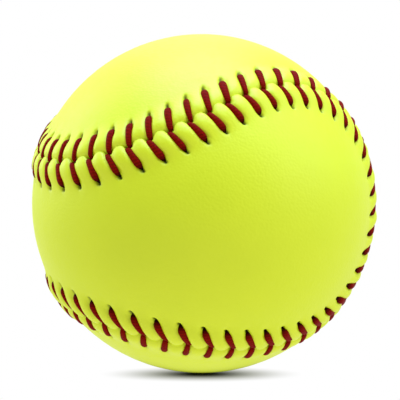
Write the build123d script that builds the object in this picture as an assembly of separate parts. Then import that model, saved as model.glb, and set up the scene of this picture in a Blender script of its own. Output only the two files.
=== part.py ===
from build123d import *
import math
import os

os.makedirs("parts", exist_ok=True)

# Softball in millimetres. The origin is the centre of the ball, +Z is up as the ball lies, the viewer is on -Y.

# The ball and its layers, from the inside out.
BALL_CIRCUMFERENCE = 304.8
CORE_DIAMETER = 80.0
COVER_THICKNESS = 2.0
LAYER_GAP = 0.1

# The figure-eight seam: width of a panel at its waist, and how far the seam climbs for each unit it goes round.
WAIST_WIDTH = 43.0
SEAM_RISE = 1.05

# The raised lips on each side of the seam.
SEAM_GAP = 0.3
EDGE_SETBACK = 0.5
LIP_HEIGHT = 1.3
LIP_EDGE_HEIGHT = 0.5
LIP_CREST = 2.4

# The lacing: V stitches that point backwards along the seam, one leg on each panel.
STITCH_COUNT = 88
FIRST_STITCH = 3.5
HOLE_LINE = 7.5
STITCH_LEAN = 2.2
HOLE_DRIFT = 2.4
THREAD_DIAMETER = 1.3
THREAD_CLEARANCE = 0.1
STITCH_BITE = 0.25
UNDER_TURN = 2.4

# How the ball lies: turns about X, Y and Z in degrees.
LIE_TURNS = (-66.3, 66.6, 118.9)

# Sizes that follow from the ones above.
BALL_RADIUS = BALL_CIRCUMFERENCE / (2 * math.pi)
COVER_INNER_RADIUS = BALL_RADIUS - COVER_THICKNESS
WINDING_RADIUS = COVER_INNER_RADIUS - LAYER_GAP
CORE_RADIUS = CORE_DIAMETER / 2
THREAD_RADIUS = THREAD_DIAMETER / 2
CHANNEL_RADIUS = THREAD_RADIUS + THREAD_CLEARANCE
THREAD_BEND = THREAD_RADIUS + 0.15
HOLE_RADIUS = math.sqrt(2) * THREAD_BEND - (THREAD_BEND - THREAD_RADIUS) + THREAD_CLEARANCE
STITCH_OFFSET = THREAD_RADIUS + THREAD_CLEARANCE
LEG_RADIUS = BALL_RADIUS + CHANNEL_RADIUS - STITCH_BITE
UNDER_RADIUS = COVER_INNER_RADIUS - CHANNEL_RADIUS - 0.05 * COVER_THICKNESS
LIP_ROOT = 0.4 * COVER_THICKNESS
BAND_JOIN = HOLE_LINE + 2 * HOLE_RADIUS
BAND_END = BAND_JOIN + 0.8 * COVER_THICKNESS
BED_HALF_WIDTH = BAND_END + 0.5
BED_RADIUS = UNDER_RADIUS - CHANNEL_RADIUS - 0.5
SEAM_SWING = 1 - SEAM_RISE * math.tan(0.5 * WAIST_WIDTH / BALL_RADIUS)
SEAM_POINTS = 64
BAND_PATCHES = 44
BLADE_PATCHES = 16
SEAM_STEPS = 2000


def seam_direction(turn):
    """Unit vector from the centre of the ball to the seam at an angle round it."""
    across = math.cos(turn) + SEAM_SWING * math.cos(3 * turn)
    along = math.sin(turn) - SEAM_SWING * math.sin(3 * turn)
    return Vector(across, along, SEAM_RISE * math.sin(2 * turn)).normalized()


def seam_frame(turn):
    """Outward, forward and sideways unit vectors on the seam; sideways is toward the right panel."""
    outward = seam_direction(turn)
    step = seam_direction(turn + 1e-4) - seam_direction(turn - 1e-4)
    forward = (step - outward * step.dot(outward)).normalized()
    return outward, forward, outward.cross(forward)


def ball_point(turn, aside, radius, ahead=0.0):
    """Point at a distance to the side of the seam and ahead along it, both measured on the ball."""
    outward, forward, sideways = seam_frame(turn)
    moved = outward + forward * math.tan(ahead / BALL_RADIUS)
    moved = moved.normalized()
    angle = aside / BALL_RADIUS
    return (moved * math.cos(angle) + sideways * math.sin(angle)).normalized() * radius


def seam_lengths():
    """Length along the seam at even angles round it."""
    lengths = [0.0]
    last = seam_direction(0.0)
    for step in range(1, SEAM_STEPS + 1):
        here = seam_direction(2 * math.pi * step / SEAM_STEPS)
        lengths.append(lengths[-1] + BALL_RADIUS * (here - last).length)
        last = here
    return lengths


LENGTHS = seam_lengths()
PITCH = LENGTHS[-1] / STITCH_COUNT


def seam_turn(length):
    """Angle round the seam at a length along it."""
    length = length % LENGTHS[-1]
    low = 0
    high = SEAM_STEPS
    while high - low > 1:
        middle = (low + high) // 2
        if LENGTHS[middle] <= length:
            low = middle
        else:
            high = middle
    share = (length - LENGTHS[low]) / (LENGTHS[low + 1] - LENGTHS[low])
    return 2 * math.pi * (low + share) / SEAM_STEPS


def apex_point(index, side, radius):
    """Point of the seam where the thread of one side of a stitch dives."""
    length = FIRST_STITCH + index * PITCH + side * STITCH_OFFSET
    return ball_point(seam_turn(length), 0.0, radius)


def hole_point(index, side, radius):
    """Centre of the stitch hole in the panel of one side."""
    length = FIRST_STITCH + index * PITCH
    drift = side * HOLE_DRIFT * math.cos(2 * seam_turn(length))
    turn = seam_turn(length + STITCH_LEAN + drift)
    return ball_point(turn, side * HOLE_LINE, radius)


def under_point(index, side):
    """Point under the other panel where a thread that has dived turns toward its next hole."""
    length = FIRST_STITCH + index * PITCH + side * STITCH_OFFSET
    return ball_point(seam_turn(length), -side * UNDER_TURN, UNDER_RADIUS)


def seam_edge(aside, radius):
    """Closed curve beside the seam at a radius."""
    turns = [2 * math.pi * step / SEAM_POINTS for step in range(SEAM_POINTS)]
    return Edge.make_spline([ball_point(turn, aside, radius) for turn in turns], periodic=True)


def section_point(aside, height):
    """Point of a section square to the seam: distance from the seam on the ball and height over the ball."""
    radius = BALL_RADIUS + height
    angle = aside / BALL_RADIUS
    return (radius * math.sin(angle), radius * math.cos(angle) - BALL_RADIUS)


def section_plane(side):
    """Plane square to the seam at its start, X to the side and Y outward."""
    outward, forward, sideways = seam_frame(0.0)
    return Plane(origin=outward * BALL_RADIUS, x_dir=sideways * side, z_dir=forward * side)


def seam_pieces(aside, radius, count):
    """The closed curve beside the seam in equal pieces."""
    whole = seam_edge(aside, radius)
    return [whole.trim(piece / count, (piece + 1) / count) for piece in range(count)]


def sweep_round_seam(section, patches):
    """Solid swept by a section round the seam, always square to the ball."""
    path = Wire(seam_pieces(0.0, BALL_RADIUS, patches))
    guide = Wire([seam_edge(0.0, 1.2 * BALL_RADIUS)])
    return Solid.sweep(section, path=path, mode=guide)


def band_solid(side):
    """Rim of one panel: raised lip beside the seam, holes line, and a tongue that runs into the plain cover."""
    lip_root = section_point(0.5 * SEAM_GAP, -LIP_ROOT)
    lip_edge = section_point(0.5 * SEAM_GAP, LIP_EDGE_HEIGHT)
    crest = section_point(LIP_CREST, LIP_HEIGHT)
    slope = section_point(HOLE_LINE - 0.5, 0.25 * LIP_HEIGHT)
    join_above = section_point(BAND_JOIN, 0.02 * COVER_THICKNESS)
    tongue_above = section_point(BAND_END, -0.25 * COVER_THICKNESS)
    tongue_below = section_point(BAND_END, -0.75 * COVER_THICKNESS)
    join_below = section_point(BAND_JOIN, -1.01 * COVER_THICKNESS)
    middle_below = section_point(0.5 * BAND_JOIN, -1.03 * COVER_THICKNESS)
    edge_below = section_point(EDGE_SETBACK, -1.03 * COVER_THICKNESS)
    edge_root = section_point(EDGE_SETBACK, -LIP_ROOT)
    with BuildSketch(section_plane(side)) as section:
        with BuildLine():
            Line(lip_root, lip_edge)
            Spline(lip_edge, crest, slope, join_above, tongue_above)
            Line(tongue_above, tongue_below)
            Spline(tongue_below, join_below, middle_below, edge_below)
            Polyline(edge_below, edge_root, lip_root)
        make_face()
    return sweep_round_seam(section.sketch.face(), BAND_PATCHES)


def plain_solid(side):
    """Plain figure-eight middle of one panel, cut square to the ball inside the rim."""
    lie = Plane(origin=(0, 0, 0), x_dir=(0, 0, -side), z_dir=(1, side, 0))
    hollow = Solid.make_sphere(BALL_RADIUS, plane=lie) - Solid.make_sphere(COVER_INNER_RADIUS, plane=lie)
    inner = seam_pieces(side * BAND_JOIN, COVER_INNER_RADIUS - 1.0, BLADE_PATCHES)
    outer = seam_pieces(side * BAND_JOIN, BALL_RADIUS + 1.0, BLADE_PATCHES)
    blade = Shell([Face.make_surface_from_curves(low, high) for low, high in zip(inner, outer)])
    pieces = []
    for kept in hollow.split(blade, keep=Keep.BOTH):
        pieces.extend(kept.solids() if hasattr(kept, "solids") else kept)
    return max(pieces, key=lambda piece: side * piece.center().Z)


def hole_cutter(index, side):
    """Round stitch hole, wide enough for the bends of the thread at both of its ends."""
    base = hole_point(index, side, COVER_INNER_RADIUS - 1.0)
    plane = Plane(origin=base, z_dir=base.normalized())
    return Solid.make_cylinder(HOLE_RADIUS, COVER_THICKNESS + LIP_HEIGHT + 2.0, plane)


def apex_cutter(index):
    """Opening of the seam at a stitch, long enough for the two threads side by side."""
    length = FIRST_STITCH + index * PITCH
    outward, forward, sideways = seam_frame(seam_turn(length))
    base = outward * (COVER_INNER_RADIUS - 1.0)
    with BuildSketch(Plane(origin=base, x_dir=forward, z_dir=outward)) as slot:
        SlotCenterToCenter(2 * STITCH_OFFSET, 2 * HOLE_RADIUS)
    return Solid.extrude(slot.sketch.face(), outward * (COVER_THICKNESS + LIP_HEIGHT + 2.0))


def leg_cutter(index, side):
    """Groove in the lip for one leg of a stitch, round below and open above."""
    start = hole_point(index, side, LEG_RADIUS)
    end = apex_point(index, side, LEG_RADIUS)
    outward = (start + end).normalized()
    rise = outward * LIP_HEIGHT
    with BuildSketch(Plane(origin=start + rise, x_dir=outward, z_dir=end - start)) as groove:
        SlotCenterToCenter(2 * LIP_HEIGHT, 2 * CHANNEL_RADIUS)
    return Solid.extrude(groove.sketch.face(), end - start)


def cover_panel(side):
    """One cover panel with its lip, stitch holes, grooves and seam openings."""
    panel = plain_solid(side) + band_solid(side)
    cutters = []
    for index in range(STITCH_COUNT):
        cutters.append(hole_cutter(index, side))
        cutters.append(leg_cutter(index, side))
        cutters.append(apex_cutter(index))
    return (panel - cutters).solids().sort_by(SortBy.VOLUME)[-1]


def rounded_path(points, bend):
    """Wire through the points, its corners rounded to one bend radius."""
    edges = []
    last = points[0]
    for before, corner, after in zip(points, points[1:], points[2:]):
        back = (before - corner).normalized()
        ahead = (after - corner).normalized()
        half = 0.5 * math.acos(max(-1.0, min(1.0, back.dot(ahead))))
        reach = bend / math.tan(half)
        inward = (back + ahead).normalized()
        middle = corner + inward * (bend / math.sin(half) - bend)
        start = corner + back * reach
        end = corner + ahead * reach
        edges.append(Edge.make_line(last, start))
        edges.append(Edge.make_three_point_arc(start, middle, end))
        last = end
    edges.append(Edge.make_line(last, points[-1]))
    return Wire(edges)


def lacing_thread(first_side):
    """One thread of the two-needle lacing, its ends tucked under the cover."""
    points = []
    for index in range(STITCH_COUNT):
        side = first_side if index % 2 == 0 else -first_side
        points.append(hole_point(index, side, UNDER_RADIUS))
        points.append(hole_point(index, side, LEG_RADIUS))
        points.append(apex_point(index, side, LEG_RADIUS))
        points.append(apex_point(index, side, UNDER_RADIUS))
        points.append(under_point(index, side))
    path = rounded_path(points, THREAD_BEND)
    with BuildSketch(Plane(origin=points[0], z_dir=points[1] - points[0])) as section:
        Circle(THREAD_RADIUS)
    return Solid.sweep(section.sketch.face(), path=path)


def yarn_winding():
    """Hollow ball of wound yarn with the channel that the lacing presses into it under the seam."""
    ball = Solid.make_sphere(WINDING_RADIUS) - Solid.make_sphere(CORE_RADIUS + LAYER_GAP)
    depth = BED_RADIUS - BALL_RADIUS
    with BuildSketch(section_plane(1)) as section:
        with BuildLine():
            left = section_point(-BED_HALF_WIDTH, depth)
            right = section_point(BED_HALF_WIDTH, depth)
            ThreePointArc(left, section_point(0.0, depth), right)
            Line(right, section_point(BED_HALF_WIDTH, 0.0))
            ThreePointArc(section_point(BED_HALF_WIDTH, 0.0), section_point(0.0, 0.0),
                          section_point(-BED_HALF_WIDTH, 0.0))
            Line(section_point(-BED_HALF_WIDTH, 0.0), left)
        make_face()
    return (ball - sweep_round_seam(section.sketch.face(), BLADE_PATCHES)).solids().sort_by(SortBy.VOLUME)[-1]


lie = Rotation(*LIE_TURNS)
export_step(lie * Solid.make_sphere(CORE_RADIUS), "parts/core.step")
export_step(lie * yarn_winding(), "parts/yarn_winding.step")
export_step(lie * cover_panel(1), "parts/right_cover_panel.step")
export_step(lie * cover_panel(-1), "parts/left_cover_panel.step")
export_step(lie * lacing_thread(1), "parts/first_lacing_thread.step")
export_step(lie * lacing_thread(-1), "parts/second_lacing_thread.step")
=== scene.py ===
"""Looks of a laced softball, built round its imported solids.

Lengths in the classes are millimetres, as on a maker's drawing; meshes are written in metres.
"""

import logging
import math
from collections.abc import Sequence
from dataclasses import dataclass
from enum import Enum
from typing import Any, NamedTuple

import bmesh
import bpy
import numpy as np
from mathutils import Euler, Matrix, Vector

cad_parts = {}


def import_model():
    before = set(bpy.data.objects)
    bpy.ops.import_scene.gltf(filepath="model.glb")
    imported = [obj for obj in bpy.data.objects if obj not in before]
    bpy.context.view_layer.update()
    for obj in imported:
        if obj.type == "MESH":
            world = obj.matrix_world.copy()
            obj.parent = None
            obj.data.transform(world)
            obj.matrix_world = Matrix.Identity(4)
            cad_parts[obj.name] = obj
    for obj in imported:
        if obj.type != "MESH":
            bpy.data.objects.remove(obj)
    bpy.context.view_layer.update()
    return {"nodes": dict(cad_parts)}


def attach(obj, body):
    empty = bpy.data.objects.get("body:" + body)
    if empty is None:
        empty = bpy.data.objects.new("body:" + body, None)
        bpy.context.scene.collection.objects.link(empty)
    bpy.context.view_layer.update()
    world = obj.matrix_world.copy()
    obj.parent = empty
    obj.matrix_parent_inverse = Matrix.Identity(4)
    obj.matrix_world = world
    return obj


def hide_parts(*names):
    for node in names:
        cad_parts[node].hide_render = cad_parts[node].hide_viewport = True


LOG = logging.getLogger("softball")
MM = 0.001
MERGE_DISTANCE = 0.002 * MM
WHITE = "#FFFFFF"

# Sockets of a Mix node that mixes colours.
MIX_SHARE = 0
MIX_FIRST = 6
MIX_SECOND = 7
MIX_RESULT = 2

Array = np.ndarray
# Points of a curve: place and height.
Curve = tuple[tuple[float, float], ...]
# Waves round the seam: how many times the turn, share of its cosine and share of its sine.
Waves = tuple[tuple[int, float, float], ...]


class Side(Enum):
    """Cover panel a thing belongs to; the value is its sign across the seam."""

    RIGHT = 1
    LEFT = -1

    @property
    def sign(self) -> int:
        """Sign of the distance from the seam on this side."""
        return self.value

    @property
    def other(self) -> "Side":
        """The panel across the seam."""
        return Side(-self.value)


class Slot(Enum):
    """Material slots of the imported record."""

    COVER = "cover_leather"
    LACING = "lacing_thread"


class Layer(Enum):
    """Layers of the meshes that the materials read."""

    HOLE = "stitch_hole"
    VALLEY_SHADE = "seam_valley"
    DIVE = "thread_shade"
    RUN = "thread_run"


class Draw(Enum):
    """What differs from stitch to stitch, each with random draws of its own."""

    FULLNESS = 1
    PULL = 2
    HOLE = 3
    FOLD = 4


def linear(hex_colour: str) -> tuple[float, float, float, float]:
    """Turn an sRGB hex colour into the linear values that shaders take.

    Args:
        hex_colour: Colour such as "#8E1016".

    Returns:
        Linear red, green, blue and an alpha of one.
    """
    shares = [int(hex_colour[at : at + 2], 16) / 255 for at in (1, 3, 5)]
    values = [
        share / 12.92 if share <= 0.04045 else ((share + 0.055) / 1.055) ** 2.4
        for share in shares
    ]
    return (values[0], values[1], values[2], 1.0)


def add_node(
    tree: bpy.types.NodeTree,
    kind: str,
    settings: dict[str, Any] | None = None,
    values: dict[str | int, Any] | None = None,
    links: dict[str | int, bpy.types.NodeSocket] | None = None,
) -> bpy.types.Node:
    """Add one shader node with its settings, fixed inputs and links.

    Args:
        tree: Node tree that gets the node.
        kind: Type name of the node.
        settings: Properties of the node itself.
        values: Input name or number to a fixed value.
        links: Input name or number to the socket that feeds it.

    Returns:
        The new node.
    """
    node = tree.nodes.new(kind)
    for name, value in (settings or {}).items():
        setattr(node, name, value)
    for name, value in (values or {}).items():
        node.inputs[name].default_value = value
    for name, socket in (links or {}).items():
        tree.links.new(socket, node.inputs[name])
    return node


def new_material(name: str) -> bpy.types.Material:
    """Make a material with an empty node tree.

    Args:
        name: Name of the real material.

    Returns:
        The material.
    """
    material = bpy.data.materials.new(name)
    material.use_nodes = True
    material.node_tree.nodes.clear()
    return material


def set_ramp(node: bpy.types.Node, stops: list[tuple[float, str]]) -> None:
    """Give a colour ramp its stops.

    Args:
        node: Colour ramp node.
        stops: Places from 0 to 1 with their sRGB hex colours.
    """
    elements = node.color_ramp.elements
    while len(elements) < len(stops):
        elements.new(0.5)
    for element, (place, colour) in zip(elements, stops):
        element.position = place
        element.color = linear(colour)


def smooth_curve(places: Array, knots: Sequence[float], heights: Sequence[float]) -> Array:
    """Read a smooth curve through a few points.

    Args:
        places: Where the curve is read.
        knots: Places of the points, rising.
        heights: Heights of the points.

    Returns:
        Heights of the curve.
    """
    x = np.array(knots)
    y = np.array(heights)
    slopes = np.gradient(y, x)
    at = np.clip(np.searchsorted(x, places, side="right") - 1, 0, len(x) - 2)
    width = x[at + 1] - x[at]
    t = np.clip((places - x[at]) / width, 0.0, 1.0)
    return (
        y[at] * (1 + 2 * t) * (1 - t) ** 2
        + slopes[at] * width * t * (1 - t) ** 2
        + y[at + 1] * t * t * (3 - 2 * t)
        + slopes[at + 1] * width * t * t * (t - 1)
    )


def new_piece(name: str, shape: bmesh.types.BMesh) -> bpy.types.Object:
    """Make an object at the origin from a finished bmesh.

    Args:
        name: Name of the piece.
        shape: Its shape, which is freed.

    Returns:
        The object, linked to the scene.
    """
    mesh = bpy.data.meshes.new(name)
    shape.to_mesh(mesh)
    shape.free()
    mesh.shade_smooth()
    piece = bpy.data.objects.new(name, mesh)
    bpy.context.scene.collection.objects.link(piece)
    return piece


def grid_numbers(shape: bmesh.types.BMesh, columns: int, rows: int) -> tuple[Array, Array]:
    """Column and row number of each vertex of a fresh grid of size one.

    Args:
        shape: Bmesh that holds only the grid.
        columns: Segments of the grid along X.
        rows: Segments of the grid along Y.

    Returns:
        Column numbers and row numbers.
    """
    flat = np.array([vertex.co[:2] for vertex in shape.verts])
    numbers = np.rint((flat + 1) / 2 * np.array([columns, rows])).astype(int)
    return numbers[:, 0], numbers[:, 1]


@dataclass(frozen=True)
class Seam:
    """Closed figure-eight seam on the ball, with its stitches."""

    ball_radius: float = 304.8 / (2 * math.pi)
    waist_width: float = 43.0
    rise: float = 1.05
    stitches: int = 88
    first_stitch: float = 3.5
    # How far the legs of the right panel start ahead of a stitch, and those of the left panel behind it.
    thread_offset: float = 0.6
    lie_turns_deg: tuple[float, float, float] = (-66.3, 66.6, 118.9)
    steps: int = 8000
    small_turn: float = 1e-4
    # Hand lacing pulls the stitches a little ahead or back, and the seam to one side: turn and distance.
    wander: Curve = (
        (0.0, 0.0), (2.3, -1.2), (2.75, 0.1), (3.1, -0.6), (3.4, -0.5), (3.7, 0.1),
        (4.6, 0.0), (4.9, -0.4), (5.15, 0.4), (5.4, 0.9), (2 * math.pi, 0.0),
    )
    sway: Curve = (
        (0.0, 0.3), (2.4, -0.2), (2.6, 0.5), (2.95, 0.1), (3.4, 0.5), (4.0, 0.0), (4.55, -1.7),
        (4.8, -0.6), (5.1, 0.6), (5.3, 0.1), (5.6, -1.6), (6.0, -0.4), (2 * math.pi, 0.3),
    )

    @property
    def swing(self) -> float:
        """Share of the third harmonic, from the width at the waist."""
        return 1 - self.rise * math.tan(0.5 * self.waist_width / self.ball_radius)

    @property
    def lie(self) -> Array:
        """Rotation from the seam's own frame to the way the ball lies."""
        turns = Euler([math.radians(turn) for turn in self.lie_turns_deg], "ZYX")
        return np.array(turns.to_matrix())

    @property
    def length(self) -> float:
        """Length of the whole seam."""
        return float(self.lengths()[1][-1])

    @property
    def pitch(self) -> float:
        """Length of the seam from stitch to stitch."""
        return self.length / self.stitches

    def directions(self, turns: Array) -> Array:
        """Unit vectors from the centre to the seam.

        Args:
            turns: Angles round the seam.

        Returns:
            One row for each angle.
        """
        points = np.stack(
            [
                np.cos(turns) + self.swing * np.cos(3 * turns),
                np.sin(turns) - self.swing * np.sin(3 * turns),
                self.rise * np.sin(2 * turns),
            ],
            axis=-1,
        )
        return points / np.linalg.norm(points, axis=-1, keepdims=True)

    def lengths(self) -> tuple[Array, Array]:
        """Measure the seam in small steps.

        Returns:
            Angles round the seam, and the length along it at each.
        """
        turns = np.linspace(0, 2 * math.pi, self.steps + 1)
        points = self.directions(turns)
        steps = np.linalg.norm(np.diff(points, axis=0), axis=1) * self.ball_radius
        return turns, np.concatenate([[0.0], np.cumsum(steps)])

    def turns_at(self, along: Array) -> Array:
        """Angles round the seam at lengths along it.

        Args:
            along: Lengths along the seam; they may go round more than once.

        Returns:
            Angles, less than a full turn.
        """
        turns, lengths = self.lengths()
        return np.interp(np.mod(along, lengths[-1]), lengths, turns)

    def frames(self, along: Array) -> tuple[Array, Array, Array]:
        """Outward, forward and sideways unit vectors on the seam.

        Args:
            along: Lengths along the seam.

        Returns:
            Three arrays of rows; sideways is toward the right panel.
        """
        turns = self.turns_at(along)
        outward = self.directions(turns)
        step = self.directions(turns + self.small_turn) - self.directions(turns - self.small_turn)
        step -= outward * np.sum(step * outward, axis=-1, keepdims=True)
        forward = step / np.linalg.norm(step, axis=-1, keepdims=True)
        return outward, forward, np.cross(outward, forward)

    def places(self, along: Array, aside: Array) -> Array:
        """Unit vectors to places beside the seam, in the seam's own frame.

        Args:
            along: Lengths along the seam.
            aside: Distances to the side, measured on the ball.

        Returns:
            One row for each place.
        """
        outward, _, sideways = self.frames(along)
        turns, shifts = zip(*self.sway)
        swayed = aside + smooth_curve(self.turns_at(along), turns, shifts)
        angle = (swayed / self.ball_radius)[..., None]
        return outward * np.cos(angle) + sideways * np.sin(angle)

    def leg_start(self, stitch: Array, side: Side) -> Array:
        """Lengths along the seam where the legs of a side start, with the uneven spacing of hand lacing.

        Args:
            stitch: Places in stitches, whole numbers on the legs.
            side: Panel of the legs.

        Returns:
            One length for each place.
        """
        even = self.first_stitch + stitch * self.pitch
        turns, shifts = zip(*self.wander)
        uneven = smooth_curve(self.turns_at(even), turns, shifts)
        return even + uneven + side.sign * self.thread_offset


@dataclass(frozen=True)
class Unevenness:
    """Small differences from stitch to stitch that hand lacing leaves."""

    seed: int
    count: int
    most_spreads: float = 2.0

    def values(self, spread: float, draw: Draw) -> Array:
        """Seeded differences, one for each stitch.

        Args:
            spread: Standard deviation.
            draw: What differs.

        Returns:
            One value for each stitch.
        """
        source = np.random.default_rng([self.seed, draw.value])
        most = self.most_spreads * spread
        return np.clip(source.normal(0.0, spread, self.count), -most, most)

    def between(self, places: Array, spread: float, draw: Draw) -> Array:
        """Differences at places between stitches, blended round the seam.

        Args:
            places: Places in stitches from the first one.
            spread: Standard deviation.
            draw: What differs.

        Returns:
            One value for each place.
        """
        values = self.values(spread, draw)
        return np.interp(
            np.mod(places, self.count),
            np.arange(self.count + 1),
            np.append(values, values[0]),
        )


@dataclass(frozen=True)
class LeatherFinish:
    """Optic-yellow synthetic leather: a polyurethane skin on cloth.

    The skin is embossed with a fine grain, so it shows a soft satin light and no sharp highlight.
    It is a little mottled, with painted shade in the fold at the seam and inside the slits of the holes.
    """

    name: str = "optic_yellow_synthetic_leather"
    clean: str = "#E2F018"
    deep: str = "#DAEA12"
    # Painted shade in the fold at the seam.
    valley_shade: str = "#8E9A14"
    # Painted shade inside the slits of the holes.
    hole: str = "#191A05"
    # The real grain is too fine to show in the render, so it is drawn coarser.
    grain_mm: float = 0.7
    grain_depth_mm: float = 0.09
    crease_grains: float = 3.0
    cloud_mm: float = 14.0
    roughness_range: tuple[float, float] = (0.44, 0.58)

    def material(self) -> bpy.types.Material:
        """Build the leather's nodes.

        Returns:
            The material.
        """
        material = new_material(self.name)
        tree = material.node_tree
        place = add_node(tree, "ShaderNodeTexCoord").outputs["Object"]
        cloud = add_node(
            tree,
            "ShaderNodeTexNoise",
            values={"Scale": 1 / (self.cloud_mm * MM), "Detail": 3.0, "Roughness": 0.55},
            links={"Vector": place},
        )
        tone = add_node(
            tree,
            "ShaderNodeMix",
            settings={"data_type": "RGBA"},
            values={MIX_FIRST: linear(self.clean), MIX_SECOND: linear(self.deep)},
            links={MIX_SHARE: cloud.outputs["Fac"]},
        )
        # Painted shade from the two layers: in the fold at the seam and inside the slits.
        for layer, colour in ((Layer.VALLEY_SHADE, self.valley_shade), (Layer.HOLE, self.hole)):
            share = add_node(tree, "ShaderNodeAttribute", settings={"attribute_name": layer.value})
            tone = add_node(
                tree,
                "ShaderNodeMix",
                settings={"data_type": "RGBA"},
                values={MIX_SECOND: linear(colour)},
                links={MIX_SHARE: share.outputs["Fac"], MIX_FIRST: tone.outputs[MIX_RESULT]},
            )
        grain = add_node(
            tree,
            "ShaderNodeTexVoronoi",
            settings={"feature": "SMOOTH_F1"},
            values={"Scale": 1 / (self.grain_mm * MM), "Smoothness": 0.6},
            links={"Vector": place},
        )
        creases = add_node(
            tree,
            "ShaderNodeTexNoise",
            values={
                "Scale": 1 / (self.crease_grains * self.grain_mm * MM),
                "Detail": 4.0,
                "Roughness": 0.6,
            },
            links={"Vector": place},
        )
        relief = add_node(
            tree,
            "ShaderNodeMath",
            settings={"operation": "MULTIPLY_ADD"},
            values={1: 0.8},
            links={0: creases.outputs["Fac"], 2: grain.outputs["Distance"]},
        )
        bump = add_node(
            tree,
            "ShaderNodeBump",
            values={"Strength": 0.5, "Distance": self.grain_depth_mm * MM},
            links={"Height": relief.outputs[0]},
        )
        smooth, rough = self.roughness_range
        gloss = add_node(
            tree,
            "ShaderNodeMapRange",
            values={"To Min": smooth, "To Max": rough},
            links={"Value": creases.outputs["Fac"]},
        )
        skin = add_node(
            tree,
            "ShaderNodeBsdfPrincipled",
            values={"IOR": 1.5, "Specular IOR Level": 0.45},
            links={
                "Base Color": tone.outputs[MIX_RESULT],
                "Roughness": gloss.outputs["Result"],
                "Normal": bump.outputs["Normal"],
            },
        )
        add_node(tree, "ShaderNodeOutputMaterial", links={"Surface": skin.outputs["BSDF"]})
        return material


@dataclass(frozen=True)
class ThreadFinish:
    """Waxed crimson lacing thread: twisted cotton plies that wax binds together.

    The plies show as slanting ridges, with painted shade between them and a painted dull waxy light on
    their tops.
    Painted shade darkens the thread where it dives into the leather.
    """

    name: str = "waxed_crimson_cotton_thread"
    # Lit is painted light on the ply crests, and deep is painted shade between the plies.
    lit: str = "#941303"
    deep: str = "#540601"
    # Painted shade where the thread dives into the leather.
    hole: str = "#100302"
    ply_mm: float = 1.1
    ply_depth_mm: float = 0.08
    plies: float = 2.0
    # Real cotton fibres are far thinner; they are drawn this coarse so that they show.
    fibre_mm: float = 0.25
    roughness: float = 0.55

    def material(self, length_mm: float) -> bpy.types.Material:
        """Build the thread's nodes.

        Args:
            length_mm: Length of the thread that its map runs along.

        Returns:
            The material.
        """
        material = new_material(self.name)
        tree = material.node_tree
        mapped = add_node(tree, "ShaderNodeUVMap", settings={"uv_map": Layer.RUN.value})
        turned = add_node(
            tree,
            "ShaderNodeMapping",
            values={"Scale": (self.plies, length_mm / self.ply_mm, 1.0)},
            links={"Vector": mapped.outputs["UV"]},
        )
        split = add_node(tree, "ShaderNodeSeparateXYZ", links={"Vector": turned.outputs["Vector"]})
        slant = add_node(
            tree,
            "ShaderNodeMath",
            settings={"operation": "ADD"},
            links={0: split.outputs["X"], 1: split.outputs["Y"]},
        )
        wave = add_node(
            tree,
            "ShaderNodeMath",
            settings={"operation": "PINGPONG"},
            values={1: 0.5},
            links={0: slant.outputs[0]},
        )
        place = add_node(tree, "ShaderNodeTexCoord").outputs["Object"]
        fibre = add_node(
            tree,
            "ShaderNodeTexNoise",
            values={"Scale": 1 / (self.fibre_mm * MM), "Detail": 3.0, "Roughness": 0.6},
            links={"Vector": place},
        )
        height = add_node(
            tree,
            "ShaderNodeMath",
            settings={"operation": "MULTIPLY_ADD"},
            values={1: 0.7},
            links={0: wave.outputs[0], 2: fibre.outputs["Fac"]},
        )
        # Painted light on the ply crests and painted shade between the plies, with an uneven fibre tone.
        ramp = add_node(tree, "ShaderNodeValToRGB", links={"Fac": height.outputs[0]})
        set_ramp(ramp, [(0.35, self.deep), (0.95, self.lit)])
        # Painted shade where the thread dives into the leather.
        dive = add_node(tree, "ShaderNodeAttribute", settings={"attribute_name": Layer.DIVE.value})
        tone = add_node(
            tree,
            "ShaderNodeMix",
            settings={"data_type": "RGBA"},
            values={MIX_SECOND: linear(self.hole)},
            links={MIX_SHARE: dive.outputs["Fac"], MIX_FIRST: ramp.outputs["Color"]},
        )
        bump = add_node(
            tree,
            "ShaderNodeBump",
            values={"Strength": 0.4, "Distance": self.ply_depth_mm * MM},
            links={"Height": height.outputs[0]},
        )
        skin = add_node(
            tree,
            "ShaderNodeBsdfPrincipled",
            values={
                "Roughness": self.roughness,
                "IOR": 1.45,
                "Specular IOR Level": 0.03,
            },
            links={"Base Color": tone.outputs[MIX_RESULT], "Normal": bump.outputs["Normal"]},
        )
        add_node(tree, "ShaderNodeOutputMaterial", links={"Surface": skin.outputs["BSDF"]})
        return material


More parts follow.
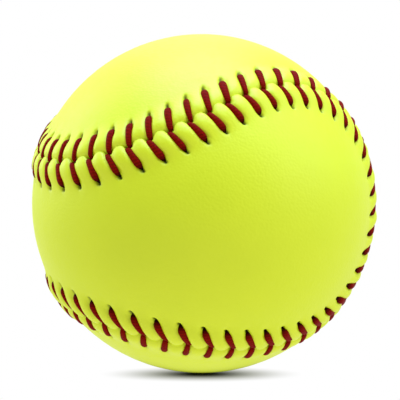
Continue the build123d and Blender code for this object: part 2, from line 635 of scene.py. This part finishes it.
@dataclass(frozen=True)
class InnerFinish:
    """Matte inside layer with a mottle of one size: wound yarn or moulded foam.

    A stretched pattern gives the streaks of yarn, an even one the cells of foam.
    """

    name: str
    light: str
    dark: str
    pattern_mm: float
    stretch: tuple[float, float, float]
    roughness: float
    turn: tuple[float, float, float] = (0.6, 0.4, 0.2)
    depth_mm: float = 0.3

    def material(self) -> bpy.types.Material:
        """Build the layer's nodes.

        Returns:
            The material.
        """
        material = new_material(self.name)
        tree = material.node_tree
        place = add_node(tree, "ShaderNodeTexCoord").outputs["Object"]
        turned = add_node(
            tree,
            "ShaderNodeMapping",
            values={"Scale": self.stretch, "Rotation": self.turn},
            links={"Vector": place},
        )
        mottle = add_node(
            tree,
            "ShaderNodeTexNoise",
            values={
                "Scale": 1 / (self.pattern_mm * MM),
                "Detail": 4.0,
                "Roughness": 0.6,
                "Distortion": 0.3,
            },
            links={"Vector": turned.outputs["Vector"]},
        )
        ramp = add_node(tree, "ShaderNodeValToRGB", links={"Fac": mottle.outputs["Fac"]})
        set_ramp(ramp, [(0.35, self.dark), (0.65, self.light)])
        bump = add_node(
            tree,
            "ShaderNodeBump",
            values={"Strength": 0.5, "Distance": self.depth_mm * MM},
            links={"Height": mottle.outputs["Fac"]},
        )
        skin = add_node(
            tree,
            "ShaderNodeBsdfPrincipled",
            values={"Roughness": self.roughness, "IOR": 1.5},
            links={"Base Color": ramp.outputs["Color"], "Normal": bump.outputs["Normal"]},
        )
        add_node(tree, "ShaderNodeOutputMaterial", links={"Surface": skin.outputs["BSDF"]})
        return material


@dataclass(frozen=True)
class LipForm:
    """Section of a cover panel beside the seam, over its pillows and along its stitch legs."""

    # Distances from the seam, and the heights over the plain ball there, on a pillow and under a leg.
    knots: tuple[float, ...]
    pillow: tuple[float, ...]
    groove: tuple[float, ...]
    # How far a pillow reaches over the seam, and between which shares of the way from leg to leg.
    scallop: float
    scallop_span: tuple[float, float]
    # Distance from the seam to the holes.
    hole_line: float
    hole_waves: Waves
    # Open slit past a hole, and the share of painted shade in it and on the thread that dives there.
    slit_length: float
    slit_width: float
    slit_shade: float
    dive_shade: float
    # How far ahead of its start a leg ends, and how the leg bends on the way.
    lean: float
    lean_waves: Waves
    lean_most: float
    leg_bend: float
    lean_least: float = -1.2
    bend_end: float = 1.25
    # Roundness of a scallop, and how a leg pulls the rim back: its breadth in stitches and the distances.
    scallop_power: float = 0.6
    pull_breadth: float = 0.13
    pull_back: float = 0.25
    rim_gap: float = 0.06

    def reach_over(self, stitch: Array) -> Array:
        """How far the rim lies over the seam, less where a leg pulls it back.

        Args:
            stitch: Places along the seam in stitches, whole numbers on the legs.

        Returns:
            Distances over the seam.
        """
        first, last = self.scallop_span
        phase = (np.mod(stitch, 1.0) - 0.5 * (first + last)) / (0.5 * (last - first))
        bulge = np.clip(1 - phase * phase, 0.0, 1.0) ** self.scallop_power
        pulled = np.exp(-(((stitch - np.rint(stitch)) / self.pull_breadth) ** 2))
        return self.scallop * bulge - self.pull_back * pulled - self.rim_gap

    def leans(self, seam: Seam, stitch: Array, side: Side) -> Array:
        """How far ahead of its start the hole of a leg lies.

        Args:
            seam: The seam.
            stitch: Places along the seam in stitches, whole numbers on the legs.
            side: Panel of the legs.

        Returns:
            One distance for each place.
        """
        lean = self.lean + self.swell(seam, stitch, self.lean_waves)
        return np.clip(lean, self.lean_least, self.lean_most) - side.sign * seam.thread_offset

    def holes(self, seam: Seam, stitch: Array) -> Array:
        """Distances from the seam to the holes at places along it, in stitches."""
        return self.hole_line + self.swell(seam, stitch, self.hole_waves)

    @staticmethod
    def swell(seam: Seam, stitch: Array, waves: Waves) -> Array:
        """Sum of waves round the seam.

        Args:
            seam: The seam.
            stitch: Places along the seam in stitches.
            waves: The waves.

        Returns:
            One value for each place.
        """
        turns = seam.turns_at(seam.first_stitch + stitch * seam.pitch)
        return sum(
            cosine * np.cos(times * turns) + sine * np.sin(times * turns)
            for times, cosine, sine in waves
        )

    def slant(self, shares: Array) -> Array:
        """Share of its lean that a leg has at shares of the way to its hole."""
        return np.clip(shares, 0.0, self.bend_end) ** self.leg_bend


TUCKED_LIP = LipForm(
    knots=(0.0, 0.5, 1.0, 1.5, 2.2, 3.2, 4.6, 6.2, 7.6, 9.2, 11.5),
    pillow=(-0.9, -0.05, 0.62, 1.04, 1.3, 1.38, 1.18, 0.72, 0.34, 0.08, 0.0),
    groove=(-0.9, -0.15, 0.12, 0.22, 0.24, 0.16, -0.02, -0.16, -0.1, 0.0, 0.0),
    scallop=0.0,
    scallop_span=(0.2, 0.8),
    hole_line=6.5,
    hole_waves=((2, 0.5, 0.0),),
    slit_length=1.3,
    slit_width=0.4,
    slit_shade=0.85,
    dive_shade=0.5,
    lean=1.31,
    lean_waves=((1, 0.85, -1.19), (2, 2.78, 0.0)),
    lean_most=3.7,
    leg_bend=1.25,
)
FULL_LIP = LipForm(
    knots=(0.0, 0.3, 0.7, 1.3, 2.2, 3.4, 5.0, 6.4, 7.6, 9.2, 11.5),
    pillow=(-0.3, 0.6, 1.08, 1.42, 1.6, 1.45, 0.95, 0.45, 0.18, 0.04, 0.0),
    groove=(-0.7, -0.1, 0.12, 0.22, 0.24, 0.12, -0.06, -0.18, -0.06, 0.0, 0.0),
    scallop=1.8,
    scallop_span=(0.27, 0.95),
    hole_line=5.75,
    hole_waves=((2, 0.4, -0.35),),
    slit_length=1.25,
    slit_width=0.42,
    slit_shade=1.0,
    dive_shade=1.0,
    lean=2.79,
    lean_waves=((2, -1.8, 0.22), (4, -0.15, -0.55)),
    lean_most=5.0,
    leg_bend=0.65,
)
LIPS = {Side.RIGHT: TUCKED_LIP, Side.LEFT: FULL_LIP}


@dataclass(frozen=True)
class HoleMarks:
    """Marks that a tight leg leaves in the leather round its hole: a dent, an open slit and a small fold.

    Off and ahead are distances from the leg, past is the distance beyond the hole.
    """

    set_back: float = 0.1
    dent_depth: float = 0.45
    dent_breadth: float = 0.75
    dent_length: float = 0.9
    slit_depth: float = 0.7
    slit_start: float = 0.2
    slit_reach: float = 0.6
    shade_gain: float = 1.6
    shade_edge: float = 0.2
    fold_depth: float = 0.2
    fold_breadth: float = 0.32
    fold_length: float = 1.1
    fold_back: float = 0.9
    fold_ahead: float = 1.0
    fold_slope: float = 0.15
    fold_slope_from: float = 5.0

    def dent(self, off: Array, past: Array) -> Array:
        """Depth of the dent round the hole."""
        return self.dent_depth * np.exp(-((off / self.dent_breadth) ** 2) - (past / self.dent_length) ** 2)

    def slit(self, off: Array, past: Array, lip: LipForm) -> Array:
        """Share of the open slit: one along its middle, none away from it.

        Args:
            off: Distances from the leg.
            past: Distances beyond the hole.
            lip: Lip with the size of the slit.

        Returns:
            One share for each place.
        """
        middle = self.slit_start + 0.5 * lip.slit_length
        lengthwise = (past - middle) / (self.slit_reach * lip.slit_length)
        return np.exp(-((off / lip.slit_width) ** 2) - lengthwise**4)

    def dark(self, slit: Array) -> Array:
        """Share of painted shade that a share of slit shows."""
        return np.clip(self.shade_gain * slit - self.shade_edge, 0.0, 1.0)

    def fold(self, ahead: Array, aside: Array, past: Array) -> Array:
        """Share of the small fold ahead of the leg.

        Args:
            ahead: Distances ahead of the leg.
            aside: Distances from the seam.
            past: Distances beyond the hole.

        Returns:
            One share for each place.
        """
        across = ahead - self.fold_ahead - self.fold_slope * (aside - self.fold_slope_from)
        lengthwise = (past + self.fold_back) / self.fold_length
        return np.exp(-((across / self.fold_breadth) ** 2) - lengthwise**2)


class Row(NamedTuple):
    """One row of a panel's grid: unit vectors, heights, and shares of painted shade in the slits and in
    the fold at the seam.
    """

    place: Array
    height: Array
    hole: Array
    valley_shade: Array


@dataclass
class CoverPanel:
    """One figure-eight cover panel: lip, pillows, grooves and holes at the seam, plain leather inside."""

    seam: Seam
    side: Side
    marks: HoleMarks = HoleMarks()
    thickness: float = 2.0
    columns_per_stitch: int = 16
    lobe_focus_deg: float = 106.0
    groove_width: float = 0.92
    # Share of a pillow that domes from leg to leg; the rest rises at the sides of the grooves.
    dome_share: float = 0.38
    wall_inset: float = 0.5
    rim_blend: float = 2.0
    # Painted shade on the wall and rim where the panels meet at the seam.
    rim_shade: float = 0.7
    rim_shade_width: float = 0.3
    # Spread from stitch to stitch, as shares of pillow height and groove width, and as distances.
    seed: int = 7
    pillow_spread: float = 0.08
    groove_spread: float = 0.08
    hole_spread: float = 0.15
    fold_spread: float = 0.2
    # Rows of the grid on the underside, as shares of the way to the middle line of the panel.
    under_rows: tuple[float, ...] = (1.0, 0.5, 0.15, 0.0)
    # Rows on the wall, as shares of the way down.
    wall_rows: tuple[float, ...] = (0.6, 0.25)
    # Rows of the lip, as distances from the seam.
    band_rows: tuple[float, ...] = (
        0.0, 0.1, 0.22, 0.36, 0.55, 0.75, 1.0, 1.25, 1.55, 1.9, 2.25, 2.6, 3.0, 3.4, 3.8, 4.2, 4.6,
        5.0, 5.4, 5.8, 6.15, 6.5, 6.8, 7.1, 7.35, 7.6, 7.85, 8.1, 8.4, 8.8, 9.3, 9.9, 10.6, 11.5,
    )
    # Rows of the plain leather, as shares of the way from the lip to the middle line.
    plain_rows: tuple[float, ...] = (
        0.05, 0.11, 0.18, 0.26, 0.35, 0.45, 0.55, 0.66, 0.77, 0.87, 0.95, 1.0,
    )

    @property
    def name(self) -> str:
        """Name of the CAD node and stem of the piece's name."""
        return f"{self.side.name.lower()}_cover_panel"

    @property
    def lip(self) -> LipForm:
        """Section of this panel beside the seam."""
        return LIPS[self.side]

    def partners(self, columns: int) -> Array:
        """Number of the column that each column meets on the middle line of the panel.

        Args:
            columns: Columns round the panel.

        Returns:
            One number for each column.
        """
        turns, lengths = self.seam.lengths()
        lobe_end = np.interp(math.pi * (0.5 + 0.25 * self.side.sign), turns, lengths)
        step = self.seam.pitch / self.columns_per_stitch
        both = round(2 * (lobe_end - self.seam.first_stitch) / step)
        return np.mod(both - np.arange(columns), columns)

    def centre_line(self, places: Array) -> Array:
        """Places on the middle line of the panel, from lobe to lobe over its waist, where its halves meet.

        Args:
            places: Unit vectors in the seam's own frame, one for each column.

        Returns:
            Unit vectors on the middle line, the same for the two columns that meet there.
        """
        waist = np.array([0.0, 0.0, float(self.side.sign)])
        lobe = np.array([1.0, -float(self.side.sign), 0.0]) / math.sqrt(2)
        limit = math.radians(self.lobe_focus_deg)
        angle = np.clip(np.arctan2(places @ lobe, places @ waist), -limit, limit)
        shared = 0.5 * (angle + angle[self.partners(len(angle))])[:, None]
        return waist * np.cos(shared) + lobe * np.sin(shared)

    def toward_middle(self, start: Array, shares: tuple[float, ...]) -> list[Array]:
        """Rows of places between a row and the middle line of the panel.

        Args:
            start: Unit vectors of the row.
            shares: Shares of the way to the middle line.

        Returns:
            Unit vectors, one array for each share.
        """
        middle = self.centre_line(start)
        mixed = [start * (1 - share) + middle * share for share in shares]
        return [row / np.linalg.norm(row, axis=-1, keepdims=True) for row in mixed]

    def relief(self, stitch: Array, aside: Array) -> tuple[Array, Array, Array]:
        """Height of the leather over the plain ball beside the seam.

        Distances from a leg are taken square to it, so that a slanting leg has as wide a groove as others.

        Args:
            stitch: Places along the seam in stitches, whole numbers on the legs.
            aside: Distance from the seam.

        Returns:
            Heights, share of painted shade in the slit and share of painted shade in the fold at the seam.
        """
        uneven = Unevenness(self.seed + self.side.sign, self.seam.stitches)
        lean = self.lip.leans(self.seam, stitch, self.side)
        holes = self.lip.holes(self.seam, stitch)
        square = holes / np.hypot(holes, lean)
        ahead = (stitch - np.rint(stitch)) * self.seam.pitch * square
        off = np.abs(ahead)
        fullness = 1 + uneven.between(stitch - 0.5, self.pillow_spread, Draw.FULLNESS)
        pull = 1 + uneven.between(stitch, self.groove_spread, Draw.PULL)
        high = smooth_curve(aside, self.lip.knots, self.lip.pillow)
        high = np.where(high > 0, high * fullness, high)
        low = smooth_curve(aside, self.lip.knots, self.lip.groove)
        trench = 1 - np.exp(-((off / (self.groove_width * pull)) ** 2))
        dome = 1 - (2 * np.mod(stitch, 1.0) - 1) ** 2
        height = low + (high - low) * ((1 - self.dome_share) * trench + self.dome_share * dome)
        hole_at = holes - self.marks.set_back + uneven.between(stitch, self.hole_spread, Draw.HOLE)
        past = aside - hole_at
        slit = self.marks.slit(off, past, self.lip)
        fold_depth = self.marks.fold_depth + np.abs(uneven.between(stitch, self.fold_spread, Draw.FOLD))
        height = height - self.marks.dent(off, past) - self.marks.slit_depth * slit
        height = height - fold_depth * self.marks.fold(ahead, aside, past)
        # Painted shade inside the slit.
        dark = self.lip.slit_shade * self.marks.dark(slit)
        shade = self.rim_shade * np.exp(-((aside / self.rim_shade_width) ** 2))
        return height, dark, shade

    def rows(self, along: Array, stitch: Array) -> list[Row]:
        """All rows of the panel from the middle of its underside round the rim to the middle of its face.

        Args:
            along: Length along the seam of each column at the seam.
            stitch: The same places in stitches.

        Returns:
            The rows in order.
        """
        sign = self.side.sign
        lean = self.lip.leans(self.seam, stitch, self.side)
        holes = self.lip.holes(self.seam, stitch)
        none = np.zeros_like(along)
        rim = -self.lip.reach_over(stitch)
        edge = self.seam.places(along, sign * (np.maximum(rim, 0.0) + self.wall_inset))
        made = [
            Row(place, none - self.thickness, none, none + 1)
            for place in self.toward_middle(edge, self.under_rows)
        ]
        rim_height = self.relief(stitch, none)[0]
        for drop in self.wall_rows:
            inset = (self.wall_inset - np.minimum(rim, 0.0)) * drop * drop
            wall = self.seam.places(along, sign * (rim + inset))
            height = rim_height * (1 - drop) - self.thickness * drop
            made.append(Row(wall, height, none, none + self.rim_shade))
        for aside in self.band_rows:
            shift = lean * self.lip.slant(aside / holes)
            reach = aside + rim * math.exp(-((aside / self.rim_blend) ** 2))
            place = self.seam.places(along + shift, sign * reach)
            made.append(Row(place, *self.relief(stitch, none + aside)))
        plain = self.toward_middle(made[-1].place, self.plain_rows)
        made.extend(Row(place, none, none, none) for place in plain)
        return made

    def build(self) -> bpy.types.Object:
        """Wrap a grid round the panel and close it.

        Returns:
            The panel.
        """
        seam = self.seam
        columns = seam.stitches * self.columns_per_stitch
        stitch = np.arange(columns) / self.columns_per_stitch
        rows = self.rows(seam.leg_start(stitch, self.side), stitch)
        shape = bmesh.new()
        # Layers of painted shade inside the slits and in the fold at the seam.
        hole_shade_layer = shape.verts.layers.float.new(Layer.HOLE.value)
        valley_shade_layer = shape.verts.layers.float.new(Layer.VALLEY_SHADE.value)
        bmesh.ops.create_grid(shape, x_segments=columns, y_segments=len(rows) - 1, size=1.0)
        column, row = grid_numbers(shape, columns, len(rows) - 1)
        at_grid = (row, np.mod(column, columns))
        places, heights, holes, valley_shades = (np.stack(values)[at_grid] for values in zip(*rows))
        points = (places @ seam.lie.T) * (seam.ball_radius + heights)[:, None] * MM
        for at, vertex in enumerate(shape.verts):
            vertex.co = points[at]
            vertex[hole_shade_layer] = holes[at]
            vertex[valley_shade_layer] = valley_shades[at]
        bmesh.ops.remove_doubles(shape, verts=shape.verts, dist=MERGE_DISTANCE)
        bmesh.ops.recalc_face_normals(shape, faces=shape.faces)
        return new_piece(self.name + "_leather", shape)

    def dress(self, piece: bpy.types.Object, material: bpy.types.Material) -> None:
        """Give the panel its leather and its place in the frame.

        Args:
            piece: The panel.
            material: Leather that both panels share.
        """
        piece.data.materials.append(material)
        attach(piece, "root")
        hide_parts(self.name)


@dataclass
class LacingThread:
    """One of the two threads: over a panel, down the seam, under the other panel and up its next hole."""

    seam: Seam
    first_side: Side
    finish: ThreadFinish
    sides: int = 10
    rings_per_leg: int = 17
    # Half thickness as a share of half width.
    flatness: float = 0.66
    # Spread of the breadth from stitch to stitch, as a share.
    seed: int = 11
    breadth_spread: float = 0.06
    # Leg that shows: share of the way to the hole, height, half width and share of shade on the way down.
    route: tuple[tuple[float, float, float, float], ...] = (
        (1.06, -1.9, 0.4, 1.0),
        (1.045, -1.0, 0.42, 1.0),
        (1.0, -0.26, 0.64, 0.9),
        (0.92, 0.28, 0.88, 0.35),
        (0.79, 0.6, 0.98, 0.0),
        (0.6, 0.78, 0.96, 0.0),
        (0.42, 0.85, 0.9, 0.0),
        (0.27, 0.86, 0.84, 0.0),
        (0.16, 0.8, 0.78, 0.0),
        (0.08, 0.55, 0.7, 0.1),
        (0.03, -0.4, 0.6, 0.6),
        (0.0, -1.9, 0.5, 1.0),
    )
    # Run under the next panel: share of the way to its hole, and height.
    under_route: Curve = ((0.08, -2.6), (0.3, -2.9), (0.55, -2.95), (0.8, -2.9), (0.94, -2.6))
    under_half_width: float = 0.55

    @property
    def name(self) -> str:
        """Name of the CAD node and stem of the piece's name."""
        return "first_lacing_thread" if self.first_side is Side.RIGHT else "second_lacing_thread"

    def leg(self, index: int, side: Side) -> tuple[Array, Array]:
        """Rings of the leg that shows, and of the run under the next panel.

        Args:
            index: Number of the stitch.
            side: Panel that the leg lies on.

        Returns:
            Rows of length along the seam, distance aside and height, and rows of half width and shade.
        """
        seam = self.seam
        lip = LIPS[side]
        knots = np.linspace(0, 1, len(self.route))
        read = np.linspace(0, 1, self.rings_per_leg)
        aside, height, wide, shade = (smooth_curve(read, knots, values) for values in zip(*self.route))
        stitch = np.array([float(index)])
        start = seam.leg_start(stitch, side)
        along = start + lip.leans(seam, stitch, side) * lip.slant(aside)
        shown = np.stack([along, side.sign * aside * lip.holes(seam, stitch), height], axis=1)
        uneven = Unevenness(self.seed + side.sign, seam.stitches)
        breadth = 1 + uneven.values(self.breadth_spread, Draw.FULLNESS)[index]
        sizes = np.stack([wide * breadth, np.clip(shade, 0.0, 1.0) * lip.dive_shade], axis=1)
        across = side.other
        beyond = LIPS[across]
        hole_along = seam.leg_start(stitch + 1, across) + beyond.leans(seam, stitch + 1, across)
        hole_aside = across.sign * self.route[0][0] * beyond.holes(seam, stitch + 1)
        share, depth = np.array(self.under_route).T
        under = np.stack([start + (hole_along - start) * share, hole_aside * share, depth], axis=1)
        under_sizes = np.tile([self.under_half_width, 1.0], (len(share), 1))
        return np.concatenate([shown, under]), np.concatenate([sizes, under_sizes])

    def build(self) -> tuple[bpy.types.Object, float]:
        """Wrap a grid round the whole run of the thread.

        Returns:
            The thread and its length in millimetres.
        """
        seam = self.seam
        legs = [
            self.leg(index, self.first_side if index % 2 == 0 else self.first_side.other)
            for index in range(seam.stitches)
        ]
        # The thread ends where its last leg dives, so the last run under the cover is left out.
        route, sizes = (np.concatenate(rows)[: -len(self.under_route)] for rows in zip(*legs))
        outward = seam.places(route[:, 0], route[:, 1])
        centre = outward * (seam.ball_radius + route[:, 2])[:, None]
        steps = np.gradient(centre, axis=0)
        run = steps / np.linalg.norm(steps, axis=1, keepdims=True)
        forward = seam.frames(route[:, 0])[1]
        broad = forward - run * np.sum(forward * run, axis=1, keepdims=True)
        broad /= np.linalg.norm(broad, axis=1, keepdims=True)
        deep = np.cross(run, broad)
        rings = len(route)
        shape = bmesh.new()
        shape.loops.layers.uv.new(Layer.RUN.value)
        shade_layer = shape.verts.layers.float.new(Layer.DIVE.value)
        bmesh.ops.create_grid(
            shape, x_segments=self.sides, y_segments=rings - 1, size=1.0, calc_uvs=True
        )
        column, row = grid_numbers(shape, self.sides, rings - 1)
        angle = 2 * math.pi * column / self.sides
        half_width, shade = sizes[row].T
        points = centre[row] + (
            broad[row] * (half_width * np.cos(angle))[:, None]
            + deep[row] * (self.flatness * half_width * np.sin(angle))[:, None]
        )
        points = points @ seam.lie.T * MM
        for at, vertex in enumerate(shape.verts):
            vertex.co = points[at]
            vertex[shade_layer] = shade[at]
        bmesh.ops.remove_doubles(shape, verts=shape.verts, dist=MERGE_DISTANCE)
        bmesh.ops.holes_fill(
            shape, edges=[edge for edge in shape.edges if edge.is_boundary], sides=self.sides
        )
        bmesh.ops.recalc_face_normals(shape, faces=shape.faces)
        length = float(np.sum(np.linalg.norm(np.diff(centre, axis=0), axis=1)))
        return new_piece(self.name + "_waxed", shape), length

    def dress(self, piece: bpy.types.Object, length: float) -> None:
        """Give the thread its wax and colour and its place in the frame.

        Args:
            piece: The thread.
            length: Its length in millimetres.
        """
        piece.data.materials.append(self.finish.material(length))
        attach(piece, "root")
        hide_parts(self.name)


@dataclass
class InsideBall:
    """The two layers under the cover, whose CAD solids stay and get their materials."""

    nodes: dict[str, bpy.types.Object]
    winding: InnerFinish = InnerFinish(
        name="wound_poly_cotton_yarn",
        light="#E9E4D4",
        dark="#B9B19A",
        pattern_mm=1.2,
        stretch=(1.0, 0.12, 0.12),
        roughness=0.85,
    )
    core: InnerFinish = InnerFinish(
        name="moulded_polyurethane_foam",
        light="#E8DDBB",
        dark="#D2C598",
        pattern_mm=2.0,
        stretch=(1.0, 1.0, 1.0),
        roughness=0.6,
    )

    def dress(self) -> None:
        """Put the yarn and foam materials on the CAD solids."""
        for name, finish in (("yarn_winding", self.winding), ("core", self.core)):
            mesh = self.nodes[name].data
            mesh.materials.clear()
            mesh.materials.append(finish.material())
            LOG.info("dressed %s as %s", name, finish.name)


@dataclass(frozen=True)
class Softbox:
    """Square lamp that faces the ball, with its place and side in metres and its power in watts."""

    name: str
    place: tuple[float, float, float]
    side: float
    power: float
    colour: str

    def hang(self) -> None:
        """Add the lamp to the scene."""
        data = bpy.data.lights.new(self.name, "AREA")
        data.shape = "SQUARE"
        data.size = self.side
        data.energy = self.power
        data.color = linear(self.colour)[:3]
        lamp = bpy.data.objects.new(self.name, data)
        lamp.location = self.place
        lamp.rotation_mode = "QUATERNION"
        lamp.rotation_quaternion = (-Vector(self.place)).to_track_quat("-Z", "Y")
        bpy.context.scene.collection.objects.link(lamp)


@dataclass
class Studio:
    """White sweep, soft lamps and the camera of the photograph."""

    ball_radius: float
    camera_distance: float = 496.0
    camera_elevation_deg: float = 4.5
    camera_clip: tuple[float, float] = (10.0, 50000.0)
    sensor: float = 36.0
    # Radius and centre of the ball in the picture, and the picture's width, in pixels.
    ball_pixels: float = 169.5
    ball_at: tuple[float, float] = (201.5, 203.5)
    image_pixels: float = 400.0
    floor_half_width: float = 6000.0
    # Darker grey paper of the patch under the ball: a painted shadow.
    paper: str = "#808080"
    # Patch of darker grey paper under the ball, a painted shadow that also keeps the real one: full inside
    # the core, none past the reach, squeezed front to back.
    shadow_core: float = 3.0
    shadow_reach: float = 30.0
    shadow_ahead: float = 6.0
    shadow_squeeze: float = 2.2
    room_light: float = 0.29
    lamps: tuple[Softbox, ...] = (
        Softbox("top_softbox", (0.0, 0.0, 0.9), 0.8, 17.5, "#B0C6FF"),
        Softbox("back_softbox", (-0.05, 0.75, 0.75), 0.7, 2.0, "#A8C6FF"),
        Softbox("left_softbox", (-0.75, 0.35, 0.4), 0.6, 4.6, "#E0E8FF"),
        Softbox("right_softbox", (0.75, -0.2, 0.5), 0.8, 5.4, "#D0D8FF"),
    )

    def paper_material(self) -> bpy.types.Material:
        """White paper that glows, apart from a patch of darker grey paper under the ball: a painted shadow
        that also keeps the real shadow.

        Returns:
            The material.
        """
        material = new_material("white_paper_sweep")
        tree = material.node_tree
        # Darker grey paper in the patch under the ball: a painted shadow under the real one.
        paper = add_node(tree, "ShaderNodeBsdfDiffuse", values={"Color": linear(self.paper)})
        glow = add_node(tree, "ShaderNodeEmission", values={"Color": linear(WHITE), "Strength": 1.0})
        place = add_node(tree, "ShaderNodeTexCoord").outputs["Object"]
        flat = add_node(
            tree,
            "ShaderNodeMapping",
            values={
                "Location": (0.0, self.shadow_squeeze * self.shadow_ahead * MM, 0.0),
                "Scale": (1.0, self.shadow_squeeze, 0.0),
            },
            links={"Vector": place},
        )
        far = add_node(
            tree,
            "ShaderNodeVectorMath",
            settings={"operation": "LENGTH"},
            links={0: flat.outputs["Vector"]},
        )
        fade = add_node(
            tree,
            "ShaderNodeMapRange",
            settings={"interpolation_type": "SMOOTHSTEP"},
            values={"From Min": self.shadow_core * MM, "From Max": self.shadow_reach * MM},
            links={"Value": far.outputs["Value"]},
        )
        mixed = add_node(
            tree,
            "ShaderNodeMixShader",
            links={0: fade.outputs["Result"], 1: paper.outputs[0], 2: glow.outputs[0]},
        )
        add_node(tree, "ShaderNodeOutputMaterial", links={"Surface": mixed.outputs[0]})
        return material

    def floor(self) -> None:
        """Lay the paper under the ball."""
        shape = bmesh.new()
        bmesh.ops.create_grid(shape, x_segments=4, y_segments=4, size=self.floor_half_width * MM)
        bmesh.ops.translate(shape, verts=shape.verts, vec=Vector((0.0, 0.0, -self.ball_radius * MM)))
        piece = new_piece("white_floor", shape)
        piece.data.materials.append(self.paper_material())

    def world(self) -> None:
        """Even pale surroundings, white where the camera or a reflection sees them."""
        world = bpy.data.worlds.new("pale_room")
        bpy.context.scene.world = world
        world.use_nodes = True
        tree = world.node_tree
        tree.nodes.clear()
        rays = add_node(tree, "ShaderNodeLightPath")
        seen = add_node(
            tree,
            "ShaderNodeMath",
            settings={"operation": "MAXIMUM"},
            links={0: rays.outputs["Is Camera Ray"], 1: rays.outputs["Is Glossy Ray"]},
        )
        strength = add_node(
            tree,
            "ShaderNodeMapRange",
            values={"To Min": self.room_light, "To Max": 1.0},
            links={"Value": seen.outputs[0]},
        )
        room = add_node(
            tree,
            "ShaderNodeBackground",
            values={"Color": linear(WHITE)},
            links={"Strength": strength.outputs["Result"]},
        )
        add_node(tree, "ShaderNodeOutputWorld", links={"Surface": room.outputs[0]})

    def camera(self) -> None:
        """Place the camera so that the ball lies in the frame as in the photograph."""
        radius = self.ball_radius
        distance = self.camera_distance
        pixels = self.ball_pixels * math.sqrt(distance**2 - radius**2) / radius
        data = bpy.data.cameras.new("photo_camera")
        data.sensor_width = self.sensor
        data.lens = pixels / self.image_pixels * self.sensor
        data.shift_x = (0.5 * self.image_pixels - self.ball_at[0]) / self.image_pixels
        data.shift_y = (self.ball_at[1] - 0.5 * self.image_pixels) / self.image_pixels
        data.clip_start, data.clip_end = (limit * MM for limit in self.camera_clip)
        camera = bpy.data.objects.new("photo_camera", data)
        raised = math.radians(self.camera_elevation_deg)
        back = Vector((0.0, -math.cos(raised), math.sin(raised)))
        camera.location = back * distance * MM
        camera.rotation_mode = "QUATERNION"
        camera.rotation_quaternion = (-back).to_track_quat("-Z", "Y")
        bpy.context.scene.collection.objects.link(camera)
        bpy.context.scene.camera = camera

    def build(self) -> None:
        """Set up floor, room, lamps and camera."""
        self.floor()
        self.world()
        for lamp in self.lamps:
            lamp.hang()
        self.camera()
        bpy.context.scene.view_settings.view_transform = "Standard"


def main() -> None:
    """Build every piece in order and report it."""
    logging.basicConfig(level=logging.INFO, format="%(name)s: %(message)s")
    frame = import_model()
    seam = Seam()
    InsideBall(frame["nodes"]).dress()
    leather = LeatherFinish().material()
    for side in Side:
        panel = CoverPanel(seam, side)
        piece = panel.build()
        panel.dress(piece, leather)
        LOG.info("%s: %d faces", piece.name, len(piece.data.polygons))
    for side in Side:
        thread = LacingThread(seam, side, ThreadFinish())
        piece, length = thread.build()
        thread.dress(piece, length)
        LOG.info("%s: %d faces, %.0f mm long", piece.name, len(piece.data.polygons), length)
    Studio(seam.ball_radius).build()


if __name__ == "__main__":
    main()
